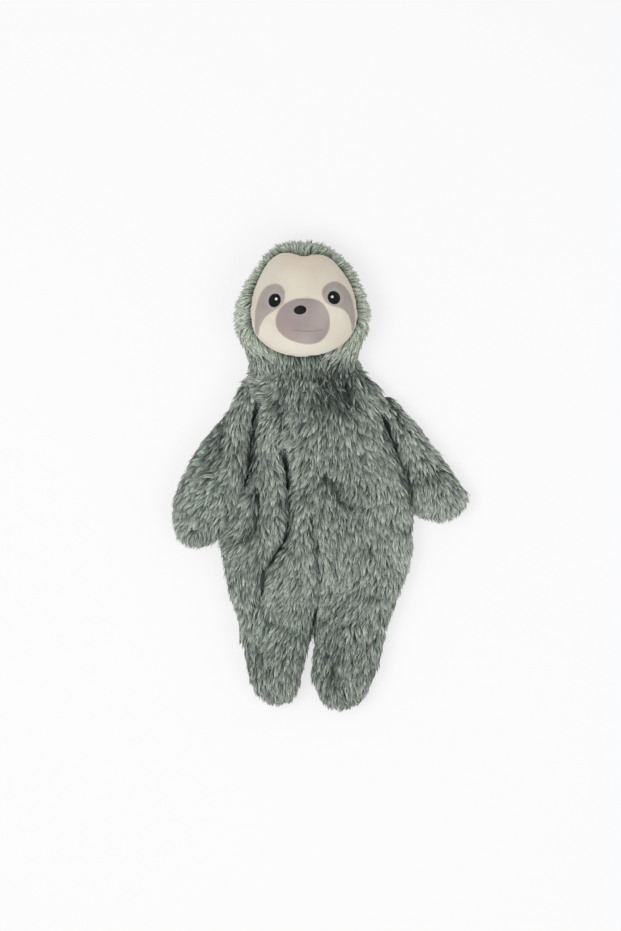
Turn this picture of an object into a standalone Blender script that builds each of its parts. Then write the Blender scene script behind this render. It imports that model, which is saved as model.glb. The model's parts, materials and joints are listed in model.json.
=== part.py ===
# Plush sloth lying on its back: fur and velour cloth over fibre filling, with an embroidered face.
# Metres. +Z is up from the surface it lies on, +Y towards the crown, +X towards the toy's left hand.
import math

import bmesh
import bpy
from mathutils import Color, Matrix, Vector
from mathutils.bvhtree import BVHTree

for thing in list(bpy.data.objects):
    bpy.data.objects.remove(thing, do_unlink=True)

# Cloth, stitches and gaps
FUR_CLOTH = 0.005
VELOUR_CLOTH = 0.0025
PATCH_CLOTH = 0.0012
STITCH_DEPTH = 0.0009
SEAM_GAP = 0.0003
CLEARANCE = 0.0003
FILLING_GAP = 0.0009
REST_CUT = 0.0005
MERGE = 0.00001

# Heights above the surface the toy lies on
SEAM_HEIGHT = 0.020
TORSO_THICKNESS = 0.045
HEAD_THICKNESS = 0.083
HEAD_SEAM_HEIGHT = 0.036
HEAD_SEAM_RUN = 0.040
ARM_THICKNESS = 0.029
LEG_THICKNESS = 0.033

# How each front swells (a higher power is fuller) and how flat the backs lie
TORSO_SWELL = 2.3
HEAD_SWELL = 2.2
LIMB_SWELL = 2.5
BACK_SWELL = 6
BACK_ROUND = 1 / 3
TORSO_RING_SHARES = (1.0, 0.93, 0.82, 0.70, 0.58, 0.46, 0.35, 0.24, 0.12)
LIMB_RING_SHARES = (1.0, 0.91, 0.74, 0.50, 0.25)
BACK_RING_SHARES = (1.0, 0.94, 0.84, 0.62)
HOOD_RING_SHARES = (0.0, 0.3, 0.65, 1.0)
FACE_RING_SHARES = (1.0, 0.88, 0.72, 0.54, 0.35, 0.16)

# How many times a ring right at the middle is evened out, so that corners don't run up the form as ridges
EVENING = 16

# Spacing of the points along each outline
TORSO_STEP = 0.018
HEAD_STEP = 0.0125
LIMB_STEP = 0.015
PATCH_STEP = 0.007
OVAL_POINTS = 14

# Torso, measured from the middle of the collar. A stretch of its outline runs on to where the next starts.
TORSO_WIDTH = 0.181
TORSO_LENGTH = 0.263
TORSO_MIDDLE_SHARE = (0.0, -0.53)
NECK_SHARES = ((-0.35, 0.00),)
LEFT_SHOULDER_SHARES = ((0.23, 0.00), (0.29, -0.05))
LEFT_SLEEVE_SHARES = ((0.32, -0.10),)
LEFT_SIDE_SHARES = ((0.43, -0.34), (0.47, -0.43), (0.50, -0.62), (0.47, -0.76), (0.40, -0.90))
LEFT_HIP_SHARES = ((0.34, -1.00),)
CROTCH_SHARES = ((-0.02, -1.00), (-0.04, -0.98))
RIGHT_HIP_SHARES = ((-0.06, -1.00),)
RIGHT_SIDE_SHARES = ((-0.41, -1.00), (-0.47, -0.84), (-0.50, -0.67), (-0.44, -0.54), (-0.35, -0.45))
RIGHT_SLEEVE_SHARES = ((-0.33, -0.42),)
RIGHT_SHOULDER_SHARES = ((-0.39, -0.10), (-0.38, -0.05))

# Folds that sink into the torso's front: each one's line and depth, and how far half of one spreads
FOLD_SPREAD = 0.0085
CHEST_FOLD_DEPTH = 0.010
CHEST_FOLD_SHARES = ((-0.18, -0.32), (-0.16, -0.50), (-0.17, -0.62), (-0.28, -0.74), (-0.31, -0.88))
SIDE_FOLD_DEPTH = 0.006
SIDE_FOLD_SHARES = ((-0.32, -0.42), (-0.30, -0.52), (-0.38, -0.66))
PARTING_DEPTH = 0.005
PARTING_SHARES = ((-0.02, -0.55), (0.01, -0.78))
HOLLOW_DEPTH = 0.005
HOLLOW_SHARES = ((0.02, -0.34), (0.13, -0.52))

# Head, measured from its own middle
HEAD_WIDTH = 0.126
HEAD_LENGTH = 0.116
HEAD_OFFSET = -0.0034
HOOD_SHARES = (
    (0.45, -0.38), (0.50, -0.15), (0.48, -0.02), (0.45, 0.12), (0.40, 0.24), (0.28, 0.38), (0.12, 0.48),
    (-0.02, 0.50), (-0.15, 0.47), (-0.28, 0.37), (-0.38, 0.24), (-0.45, 0.11), (-0.50, -0.15), (-0.48, -0.28),
)
FACE_SHARES = (
    (0.00, 0.40), (0.12, 0.41), (0.23, 0.37), (0.34, 0.22), (0.40, -0.06), (0.39, -0.20), (0.26, -0.37),
    (0.01, -0.43), (-0.24, -0.37), (-0.37, -0.22), (-0.40, 0.03), (-0.37, 0.16), (-0.22, 0.40), (-0.13, 0.43),
)

# Face patches and embroidery. Each is placed at a share of the head's width and length from its middle.
MUZZLE_WIDTH = 0.052
MUZZLE_LENGTH = 0.0435
MUZZLE_PLACE_SHARE = (0.0, -0.14)
MUZZLE_SHARES = (
    (0.00, 0.50), (-0.24, 0.43), (-0.43, 0.23), (-0.50, -0.01), (-0.43, -0.28), (-0.22, -0.43),
    (0.04, -0.50), (0.28, -0.43), (0.44, -0.26), (0.50, 0.01), (0.43, 0.27), (0.24, 0.45),
)
EYE_PATCH_WIDTH = 0.029
EYE_PATCH_LENGTH = 0.048
EYE_PATCH_SHARES = (
    (0.08, 0.50), (0.35, 0.42), (0.50, 0.26), (0.45, 0.06), (0.15, -0.07), (-0.15, -0.18), (-0.33, -0.34),
    (-0.40, -0.50), (-0.50, -0.36), (-0.50, -0.14), (-0.45, 0.12), (-0.32, 0.34), (-0.15, 0.46),
)
RIGHT_EYE_PATCH_PLACE_SHARE = (-0.255, -0.033)
LEFT_EYE_PATCH_PLACE_SHARE = (0.258, -0.019)
EYE_WIDTH = 0.0120
EYE_LENGTH = 0.0132
EYE_TILT = math.radians(25)
RIGHT_EYE_PLACE_SHARE = (-0.215, 0.030)
LEFT_EYE_PLACE_SHARE = (0.237, 0.052)
HIGHLIGHT_WIDTH = 0.0034
HIGHLIGHT_PLACE_SHARE = (0.12, 0.12)
NOSE_WIDTH = 0.0119
NOSE_LENGTH = 0.0091
NOSE_TILT = math.radians(8)
NOSE_PLACE_SHARE = (-0.02, -0.047)
MOUTH_WIDTH = 0.029
MOUTH_SAG = 0.0012
MOUTH_THREAD = 0.0008
MOUTH_PLACE_SHARE = (0.038, -0.22)
MOUTH_POINTS = 9

# Arms, from the middle of the sleeve seam: shares of the reach away from it and of the drop along it
RIGHT_ARM_REACH = 0.0825
RIGHT_ARM_DROP = 0.0966
RIGHT_ARM_SHARES = (
    (0.22, -0.29), (0.54, -0.02), (0.80, 0.26), (0.98, 0.59), (0.96, 0.90), (0.75, 1.00), (0.49, 0.86),
    (0.27, 0.57), (0.16, 0.48),
)
RIGHT_ARM_MIDDLE_SHARE = (0.44, 0.31)
LEFT_ARM_REACH = 0.0508
LEFT_ARM_DROP = 0.1007
LEFT_ARM_SHARES = (
    (0.16, -0.29), (0.43, -0.05), (0.73, 0.38), (0.99, 0.80), (0.86, 0.96), (0.42, 1.00), (0.09, 0.86),
    (0.09, 0.60), (0.08, 0.47),
)
LEFT_ARM_MIDDLE_SHARE = (0.39, 0.45)

# Legs, from the middle of the hip seam: shares of the leg's length away from it and of the seam along it
RIGHT_LEG_LENGTH = 0.0634
RIGHT_LEG_SHARES = (
    (0.18, -0.46), (0.62, -0.36), (0.79, -0.31), (0.92, -0.18), (1.00, -0.01), (0.98, 0.16), (0.89, 0.32),
    (0.71, 0.38), (0.24, 0.47),
)
LEFT_LEG_LENGTH = 0.0653
LEFT_LEG_SHARES = (
    (0.22, -0.49), (0.57, -0.50), (0.77, -0.45), (0.93, -0.33), (1.00, -0.11), (0.94, 0.09), (0.81, 0.24),
    (0.41, 0.41), (0.22, 0.46),
)
LEG_MIDDLE_SHARE = (0.46, -0.02)

# Finishes: the colour as seen, and the roughness
SAGE_FUR = ((0.49, 0.53, 0.50), 0.95)
CREAM_VELOUR = ((0.85, 0.82, 0.76), 0.95)
TAUPE_VELOUR = ((0.63, 0.59, 0.57), 0.95)
BLACK_SATIN = ((0.05, 0.05, 0.05), 0.45)
WHITE_THREAD = ((0.92, 0.92, 0.90), 0.6)
TAUPE_THREAD = ((0.50, 0.46, 0.44), 0.7)
WHITE_FIBRE = ((0.93, 0.93, 0.91), 1.0)

spread = []


def scaled(shares, across, lengthways):
    return [Vector((x * across, y * lengthways)) for x, y in shares]


def on_torso(*shares):
    return scaled(shares, TORSO_WIDTH, TORSO_LENGTH)


def on_head(head, *shares):
    return [head.middle + place for place in scaled(shares, HEAD_WIDTH, HEAD_LENGTH)]


def follow(knots, step):
    """Points about a step apart on a smooth curve, from the second knot up to the last but one."""
    found = []
    for a, b, c, d in zip(knots, knots[1:], knots[2:], knots[3:]):
        count = max(1, round((c - b).length / step))
        for i in range(count):
            t = i / count
            slope = (c - a) * t
            bend = (2 * a - 5 * b + 4 * c - d) * t**2
            twist = (3 * b - a - 3 * c + d) * t**3
            found.append(b + (slope + bend + twist) / 2)
    return found


def curve_through(points, step):
    """An open curve through these points, leaving out the last of them."""
    first = 2 * points[0] - points[1]
    last = 2 * points[-1] - points[-2]
    return follow([first, *points, last], step)


def loop_through(points, step):
    return follow([points[-1], *points, points[0], points[1]], step)


def reach(loop, middle, way):
    """How far the loop lies from the middle along this way."""
    found = 0
    for a, b in zip(loop, loop[1:] + loop[:1]):
        side = b - a
        cross = way.x * side.y - way.y * side.x
        if cross == 0:
            continue
        start = a - middle
        along_side = (start.x * way.y - start.y * way.x) / cross
        if 0 <= along_side <= 1:
            found = max(found, (start.x * side.y - start.y * side.x) / cross)
    return found


def fold_share(place, line):
    """How much of a fold's depth there is at a place: all of it on its line, fading away from it."""
    nearest = math.inf
    for a, b in zip(line, line[1:]):
        side = b - a
        along = min(1, max(0, (place - a).dot(side) / side.length_squared))
        nearest = min(nearest, (a + side * along - place).length)
    return math.exp(-((nearest / FOLD_SPREAD) ** 2))


class Cushion:
    """A stuffed form: a seam round its outline, a front that swells up from it, a back that lies flat."""

    def __init__(self, outline, middle, crown, swell, seam_height, folds=()):
        self.outline = outline
        self.middle = middle
        self.crown = crown
        self.swell = swell
        self.seam_height = seam_height
        self.folds = folds
        self.evened = [outline]
        for _ in range(EVENING):
            last = self.evened[-1]
            before = last[-1:] + last
            after = last[1:] + last[:1]
            self.evened.append([(a + 2 * b + c) / 4 for a, b, c in zip(before, last, after)])
        self.plan = []

    def level(self, share):
        return round((1 - share) * EVENING)

    def part_evenly(self, ring_shares):
        self.plan = [self.even_ring(share) for share in ring_shares]

    def even_ring(self, share):
        """A ring's plan: which evened outline it follows, and its share of the way out at each corner."""
        return self.level(share), [share] * len(self.outline)

    def spokes(self, level):
        return [corner - self.middle for corner in self.evened[level]]

    def ring(self, planned, inset, height):
        level, shares = planned
        points = []
        for corner, spoke, share in zip(self.outline, self.spokes(level), shares):
            place = self.middle + spoke * (1 - inset / spoke.length) * share
            points.append(Vector((*place, height(self.seam_height(corner.y), place, share, inset))))
        return points

    def front_height(self, seam, place, share, inset):
        edge = seam + SEAM_GAP / 2
        rise = 1 - share**self.swell
        sunk = max((depth * fold_share(place, line) for line, depth in self.folds), default=0)
        return edge + (self.crown - inset - edge - sunk) * rise

    def back_height(self, seam, place, share, inset):
        depth = (seam + REST_CUT - inset) * (1 - share**BACK_SWELL) ** BACK_ROUND
        return max(0, seam - SEAM_GAP / 2 - depth)

    def front_rings(self, inset):
        rings = [self.ring(planned, inset, self.front_height) for planned in self.plan]
        return rings + [self.ring(self.even_ring(0), inset, self.front_height)[:1]]

    def back_rings(self, inset):
        shares = (*BACK_RING_SHARES, 0)
        rings = [self.ring(self.even_ring(share), inset, self.back_height) for share in shares]
        return rings[:-1] + [rings[-1][:1]]

    def rim(self, inset):
        """The filling's edge, level with the seam."""
        return self.ring(self.even_ring(1), inset, lambda seam, place, share, inset: seam)

    def front_tree(self, inset):
        """The front's facets, for pieces that lie on them."""
        bm = bmesh.new()
        add_rings(bm, self.front_rings(inset), Matrix.Identity(4))
        bmesh.ops.triangulate(bm, faces=bm.faces)
        tree = BVHTree.FromBMesh(bm)
        bm.free()
        return tree


def join_rings(bm, outer, inner):
    count = len(outer)
    for i in range(count):
        j = (i + 1) % count
        if len(inner) == 1:
            bm.faces.new((outer[i], outer[j], inner[0]))
        else:
            bm.faces.new((outer[i], outer[j], inner[j]))
            bm.faces.new((outer[i], inner[j], inner[i]))


def add_rings(bm, rings, matrix):
    added = [[bm.verts.new(matrix @ point) for point in ring] for ring in rings]
    for outer, inner in zip(added, added[1:]):
        join_rings(bm, outer, inner)
    return added


def point_over(tree, place, lift):
    """The point that lies a lift off the facet under a place in plan."""
    above = Vector((place.x, place.y, HEAD_THICKNESS * 2))
    found, normal = tree.ray_cast(above, Vector((0, 0, -1)))[:2]
    return found + normal * math.copysign(lift, normal.z)


def give_finish(obj, finish):
    colour, roughness = finish
    material = bpy.data.materials.new(obj.name)
    material.use_nodes = True
    shader = material.node_tree.nodes["Principled BSDF"]
    shader.inputs["Base Color"].default_value = (*Color(colour).from_srgb_to_scene_linear(), 1)
    shader.inputs["Roughness"].default_value = roughness
    shader.inputs["Metallic"].default_value = 0
    obj.data.materials.append(material)


def make_solid(name, top, bottom, pivot, finish):
    """A closed solid between two stacks of rings, each stack listed from its rim inwards."""
    bm = bmesh.new()
    upper, lower = (add_rings(bm, rings, pivot.matrix_basis.inverted()) for rings in (top, bottom))
    for ring in top + bottom:
        spread.extend(ring)
    join_rings(bm, upper[0], lower[0])
    if len(top[-1]) > 1:
        join_rings(bm, upper[-1], lower[-1])
    bmesh.ops.remove_doubles(bm, verts=bm.verts, dist=MERGE)
    bmesh.ops.recalc_face_normals(bm, faces=bm.faces)
    mesh = bpy.data.meshes.new(name)
    bm.to_mesh(mesh)
    bm.free()
    mesh.shade_smooth()
    obj = bpy.data.objects.new(name, mesh)
    obj.parent = pivot
    bpy.context.collection.objects.link(obj)
    give_finish(obj, finish)
    return obj


def make_pivot(name, place, way):
    """An empty whose X axis lies along a fabric hinge."""
    pivot = bpy.data.objects.new(name, None)
    turn = Matrix.Rotation(math.atan2(way.y, way.x), 4, "Z")
    pivot.matrix_basis = Matrix.Translation((place.x, place.y, SEAM_HEIGHT + SEAM_GAP / 2)) @ turn
    pivot.parent = ground
    bpy.context.collection.objects.link(pivot)
    return pivot


def make_front(form, name, pivot):
    make_solid(name, form.front_rings(0), form.front_rings(FUR_CLOTH), pivot, SAGE_FUR)


def make_back(form, name, pivot):
    make_solid(name, form.back_rings(0), form.back_rings(FUR_CLOTH), pivot, SAGE_FUR)


def make_filling(form, name, pivot):
    inset = FUR_CLOTH + FILLING_GAP
    above = [form.rim(inset), *form.front_rings(inset)[1:]]
    below = form.back_rings(inset)[1:]
    make_solid(name, above, below, pivot, WHITE_FIBRE)


def make_stuffed(form, name, pivot):
    make_front(form, name + "_front_panel", pivot)
    make_back(form, name + "_back_panel", pivot)
    make_filling(form, name + "_filling", pivot)


def level_seam(y):
    return SEAM_HEIGHT


def head_seam(y):
    """The hood's side seam climbs from the neck to the sides of the head."""
    climb = min(1, max(0, y / HEAD_SEAM_RUN))
    return SEAM_HEIGHT + (HEAD_SEAM_HEIGHT - SEAM_HEIGHT) * climb**2 * (3 - 2 * climb)


def make_torso():
    stretches = (
        NECK_SHARES, LEFT_SHOULDER_SHARES, LEFT_SLEEVE_SHARES, LEFT_SIDE_SHARES, LEFT_HIP_SHARES,
        CROTCH_SHARES, RIGHT_HIP_SHARES, RIGHT_SIDE_SHARES, RIGHT_SLEEVE_SHARES, RIGHT_SHOULDER_SHARES,
    )
    outline = []
    for shares, following in zip(stretches, stretches[1:] + stretches[:1]):
        outline += curve_through(on_torso(*shares, following[0]), TORSO_STEP)
    middle = on_torso(TORSO_MIDDLE_SHARE)[0]
    folds = (
        (on_torso(*CHEST_FOLD_SHARES), CHEST_FOLD_DEPTH), (on_torso(*SIDE_FOLD_SHARES), SIDE_FOLD_DEPTH),
        (on_torso(*PARTING_SHARES), PARTING_DEPTH), (on_torso(*HOLLOW_SHARES), HOLLOW_DEPTH),
    )
    form = Cushion(outline, middle, TORSO_THICKNESS, TORSO_SWELL, level_seam, folds)
    form.part_evenly(TORSO_RING_SHARES)
    make_stuffed(form, "torso", ground)


def make_limb(name, seam, free_shares, sizes, middle_share, thickness, hinge_way):
    """A limb sewn on along a straight seam between two corners of the torso's outline."""
    start, end = seam
    along = (end - start).normalized()
    out = Vector((along.y, -along.x))
    seam_middle = (start + end) / 2
    if out.dot(seam_middle - on_torso(TORSO_MIDDLE_SHARE)[0]) < 0:
        out = -out
    origin = seam_middle + out * CLEARANCE
    away, sideways = sizes

    def placed(share):
        return origin + out * (share[0] * away) + along * (share[1] * sideways)

    ends = [start + out * CLEARANCE, end + out * CLEARANCE]
    free = [ends[0], *[placed(share) for share in free_shares], ends[1]]
    outline = curve_through(free, LIMB_STEP) + curve_through([ends[1], ends[0]], LIMB_STEP)
    form = Cushion(outline, placed(middle_share), thickness, LIMB_SWELL, level_seam)
    form.part_evenly(LIMB_RING_SHARES)
    pivot = make_pivot(name + "_hinge", seam_middle + out * CLEARANCE / 2, along * hinge_way)
    make_stuffed(form, name, pivot)


def make_arms():
    sleeve = on_torso(RIGHT_SHOULDER_SHARES[0], RIGHT_SLEEVE_SHARES[0])
    sizes = (RIGHT_ARM_REACH, RIGHT_ARM_DROP)
    make_limb("right_arm", sleeve, RIGHT_ARM_SHARES, sizes, RIGHT_ARM_MIDDLE_SHARE, ARM_THICKNESS, -1)
    sleeve = on_torso(LEFT_SLEEVE_SHARES[0], LEFT_SIDE_SHARES[0])
    sizes = (LEFT_ARM_REACH, LEFT_ARM_DROP)
    make_limb("left_arm", sleeve, LEFT_ARM_SHARES, sizes, LEFT_ARM_MIDDLE_SHARE, ARM_THICKNESS, 1)


def make_legs():
    right_hip = on_torso(RIGHT_SIDE_SHARES[0], RIGHT_HIP_SHARES[0])
    left_hip = on_torso(CROTCH_SHARES[0], LEFT_HIP_SHARES[0])
    legs = (
        ("right_leg", right_hip, RIGHT_LEG_SHARES, RIGHT_LEG_LENGTH),
        ("left_leg", left_hip, LEFT_LEG_SHARES, LEFT_LEG_LENGTH),
    )
    for name, hip, shares, length in legs:
        sizes = (length, (hip[1] - hip[0]).length)
        make_limb(name, hip, shares, sizes, LEG_MIDDLE_SHARE, LEG_THICKNESS, -1)


def make_patch(name, loop, lift, depth, head, pivot, finish):
    """A piece of the face's own curve, cut out along a loop, with its underside a lift above the velour."""
    hood_count = len(HOOD_RING_SHARES)
    under = FUR_CLOTH - VELOUR_CLOTH - lift
    above = head.front_rings(under - depth)[hood_count:]
    below = head.front_rings(under)[hood_count:]
    obj = make_solid(name, above, below, pivot, finish)
    bm = bmesh.new()
    base = [bm.verts.new(pivot.matrix_basis.inverted() @ Vector((place.x, place.y, 0))) for place in loop]
    face = bm.faces.new(base)
    raised = bmesh.ops.extrude_face_region(bm, geom=[face])["geom"]
    top = [item for item in raised if isinstance(item, bmesh.types.BMVert)]
    bmesh.ops.translate(bm, verts=top, vec=(0, 0, HEAD_THICKNESS * 2))
    bmesh.ops.recalc_face_normals(bm, faces=bm.faces)
    mesh = bpy.data.meshes.new(name + "_outline")
    bm.to_mesh(mesh)
    bm.free()
    cutter = bpy.data.objects.new(name + "_outline", mesh)
    cutter.parent = pivot
    cutter.hide_render = True
    cutter.display_type = "WIRE"
    bpy.context.collection.objects.link(cutter)
    cut = obj.modifiers.new("outline", "BOOLEAN")
    cut.operation = "INTERSECT"
    cut.solver = "EXACT"
    cut.object = cutter


def oval(centre, width, length, tilt):
    turn = Matrix.Rotation(tilt, 2)
    points = []
    for i in range(OVAL_POINTS):
        angle = math.tau * i / OVAL_POINTS
        points.append(centre + turn @ Vector((math.cos(angle) * width / 2, math.sin(angle) * length / 2)))
    return points


def part_at_face(head):
    """Plans of the hood's rings in to the face, then of the face's rings in to its middle."""
    face_loop = loop_through(on_head(head, *FACE_SHARES), HEAD_STEP)

    def edges(level):
        return [
            (reach(face_loop, head.middle, spoke.normalized()), spoke.length)
            for spoke in head.spokes(level)
        ]

    usual = sum(edge / length for edge, length in edges(0)) / len(head.outline)
    plans = []
    for share in HOOD_RING_SHARES:
        level = head.level(1 - (1 - usual) * share)
        gap = 2 * CLEARANCE
        plans.append((level, [1 - (1 - (edge + gap) / length) * share for edge, length in edges(level)]))
    for share in FACE_RING_SHARES:
        level = head.level(usual * share)
        plans.append((level, [edge / length * share for edge, length in edges(level)]))
    return plans


def make_face(head, pivot):
    """The hood's front panel, the velour face in it, the patches, the eyes, the nose and the mouth."""
    hood_count = len(HOOD_RING_SHARES)
    hood_under = head.front_rings(FUR_CLOTH)
    make_solid("hood_front_panel", head.front_rings(0)[:hood_count], hood_under[:hood_count], pivot, SAGE_FUR)
    face_front = head.front_rings(FUR_CLOTH - VELOUR_CLOTH)
    make_solid("face_panel", face_front[hood_count:], hood_under[hood_count:], pivot, CREAM_VELOUR)

    muzzle_middle = on_head(head, MUZZLE_PLACE_SHARE)[0]
    muzzle = [muzzle_middle + place for place in scaled(MUZZLE_SHARES, MUZZLE_WIDTH, MUZZLE_LENGTH)]
    muzzle_loop = loop_through(muzzle, PATCH_STEP)
    make_patch("muzzle_patch", muzzle_loop, CLEARANCE, PATCH_CLOTH, head, pivot, TAUPE_VELOUR)
    on_patch = CLEARANCE + PATCH_CLOTH + CLEARANCE
    make_eye("right", RIGHT_EYE_PATCH_PLACE_SHARE, RIGHT_EYE_PLACE_SHARE, 1, on_patch, head, pivot)
    make_eye("left", LEFT_EYE_PATCH_PLACE_SHARE, LEFT_EYE_PLACE_SHARE, -1, on_patch, head, pivot)
    nose = oval(on_head(head, NOSE_PLACE_SHARE)[0], NOSE_WIDTH, NOSE_LENGTH, NOSE_TILT)
    make_patch("nose", nose, on_patch, STITCH_DEPTH, head, pivot, BLACK_SATIN)
    make_mouth(head, on_patch, pivot)


def make_eye(side, patch_share, eye_share, mirror, on_patch, head, pivot):
    """An eye patch, the stitched eye on it and the highlight on that."""
    patch_middle, eye_middle = on_head(head, patch_share, eye_share)
    shape = scaled(EYE_PATCH_SHARES, EYE_PATCH_WIDTH * mirror, EYE_PATCH_LENGTH)
    patch_loop = loop_through([patch_middle + place for place in shape], PATCH_STEP)
    make_patch(side + "_eye_patch", patch_loop, CLEARANCE, PATCH_CLOTH, head, pivot, TAUPE_VELOUR)
    eye = oval(eye_middle, EYE_WIDTH, EYE_LENGTH, -EYE_TILT * mirror)
    make_patch(side + "_eye", eye, on_patch, STITCH_DEPTH, head, pivot, BLACK_SATIN)
    spot_middle = eye_middle + scaled([HIGHLIGHT_PLACE_SHARE], EYE_WIDTH * mirror, EYE_LENGTH)[0]
    spot = oval(spot_middle, HIGHLIGHT_WIDTH, HIGHLIGHT_WIDTH, 0)
    on_eye = on_patch + STITCH_DEPTH + CLEARANCE
    make_patch(side + "_eye_highlight", spot, on_eye, STITCH_DEPTH / 2, head, pivot, WHITE_THREAD)


def make_mouth(head, lift, pivot):
    """One thread laid along the mouth, which sags in the middle."""
    curve = bpy.data.curves.new("mouth_stitch", "CURVE")
    curve.dimensions = "3D"
    curve.bevel_depth = MOUTH_THREAD / 2
    curve.bevel_resolution = 1
    curve.use_fill_caps = True
    spline = curve.splines.new("POLY")
    spline.points.add(MOUTH_POINTS - 1)
    to_pivot = pivot.matrix_basis.inverted()
    patch_front = head.front_tree(FUR_CLOTH - VELOUR_CLOTH - lift)
    mouth_middle = on_head(head, MOUTH_PLACE_SHARE)[0]
    for i in range(MOUTH_POINTS):
        t = 2 * i / (MOUTH_POINTS - 1) - 1
        place = mouth_middle + Vector((t * MOUTH_WIDTH / 2, -MOUTH_SAG * (1 - t * t)))
        point = to_pivot @ point_over(patch_front, place, CLEARANCE + MOUTH_THREAD / 2)
        spline.points[i].co = (*point, 1)
    obj = bpy.data.objects.new("mouth_stitch", curve)
    obj.parent = pivot
    bpy.context.collection.objects.link(obj)
    give_finish(obj, TAUPE_THREAD)


def make_head():
    collar_right, collar_left = on_torso(NECK_SHARES[0], LEFT_SHOULDER_SHARES[0])
    collar_middle = (collar_right + collar_left) / 2
    lift = Vector((0, CLEARANCE))
    ends = [collar_right + lift, collar_left + lift]
    middle = collar_middle + lift + Vector((HEAD_OFFSET, HEAD_LENGTH / 2))
    hood = [middle + place for place in scaled(HOOD_SHARES, HEAD_WIDTH, HEAD_LENGTH)]
    outline = curve_through(ends, HEAD_STEP) + curve_through([ends[1], *hood, ends[0]], HEAD_STEP)
    form = Cushion(outline, middle, HEAD_THICKNESS, HEAD_SWELL, head_seam)
    form.plan = part_at_face(form)
    pivot = make_pivot("neck_hinge", collar_middle + lift / 2, Vector((1, 0)))
    make_back(form, "hood_back_panel", pivot)
    make_filling(form, "head_filling", pivot)
    make_face(form, pivot)


ground = bpy.data.objects.new("plush_sloth", None)
bpy.context.collection.objects.link(ground)

make_torso()
make_head()
make_arms()
make_legs()

# The origin is under the middle of the whole toy
for axis in (0, 1):
    places = [point[axis] for point in spread]
    ground.location[axis] = -(min(places) + max(places)) / 2
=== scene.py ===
import json
import math

import bmesh
import bpy
import numpy as np
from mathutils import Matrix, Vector
from mathutils.bvhtree import BVHTree
from mathutils.kdtree import KDTree


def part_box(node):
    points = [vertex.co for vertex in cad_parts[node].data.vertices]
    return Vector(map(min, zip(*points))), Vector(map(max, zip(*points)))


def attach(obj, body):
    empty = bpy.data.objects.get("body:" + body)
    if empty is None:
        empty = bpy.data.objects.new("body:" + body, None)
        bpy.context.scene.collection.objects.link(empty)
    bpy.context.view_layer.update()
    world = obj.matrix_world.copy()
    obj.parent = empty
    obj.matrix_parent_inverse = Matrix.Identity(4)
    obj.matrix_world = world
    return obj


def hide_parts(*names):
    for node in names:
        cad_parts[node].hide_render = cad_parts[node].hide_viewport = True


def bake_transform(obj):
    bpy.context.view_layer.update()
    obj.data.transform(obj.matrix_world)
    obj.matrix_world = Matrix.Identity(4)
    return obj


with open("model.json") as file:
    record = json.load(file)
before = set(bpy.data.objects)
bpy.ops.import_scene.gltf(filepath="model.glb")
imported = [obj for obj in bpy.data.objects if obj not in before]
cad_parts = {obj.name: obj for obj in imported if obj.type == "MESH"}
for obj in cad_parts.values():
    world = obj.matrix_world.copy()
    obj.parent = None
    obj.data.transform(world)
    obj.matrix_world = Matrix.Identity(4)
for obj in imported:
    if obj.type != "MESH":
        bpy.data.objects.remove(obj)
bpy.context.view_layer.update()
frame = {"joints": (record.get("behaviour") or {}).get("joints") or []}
hinges = {joint["child"]: joint for joint in frame["joints"]}

# the photograph looks straight down: a pixel's length, and the pixel over the frame's origin
photo = {"pixel": 0.00096, "originX": 319.05, "originY": 476.57, "width": 621, "height": 931}
view = {"distance": 8.0, "aimHeight": 0.05, "sensor": 36.0}
mm = 0.001
upwards = Vector((0, 0, 1))


def atPixel(x, y, z=0.0):
    right = (x - photo["originX"]) * photo["pixel"]
    return Vector((right, (photo["originY"] - y) * photo["pixel"], z))


def atPixels(places):
    return [atPixel(*place) for place in places]


def srgb(*levels):
    shares = [level / 255 for level in levels]
    return tuple(((c + 0.055) / 1.055) ** 2.4 if c > 0.04 else c / 12.92 for c in shares)


# shader maths: sums on a Socket add Math nodes
class Socket:
    def __init__(self, paint, out):
        self.paint = paint
        self.out = out

    def maths(self, operation, first, second):
        return self.paint.node("ShaderNodeMath", {"operation": operation}, {0: first, 1: second})

    def __add__(self, other):
        return self.maths("ADD", self, other)

    def __mul__(self, other):
        return self.maths("MULTIPLY", self, other)

    def __sub__(self, other):
        return self.maths("SUBTRACT", self, other)

    def __rsub__(self, other):
        return self.maths("SUBTRACT", other, self)

    def __pow__(self, other):
        return self.maths("POWER", self, other)

    def __rpow__(self, other):
        return self.maths("POWER", other, self)

    __radd__ = __add__
    __rmul__ = __mul__


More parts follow.
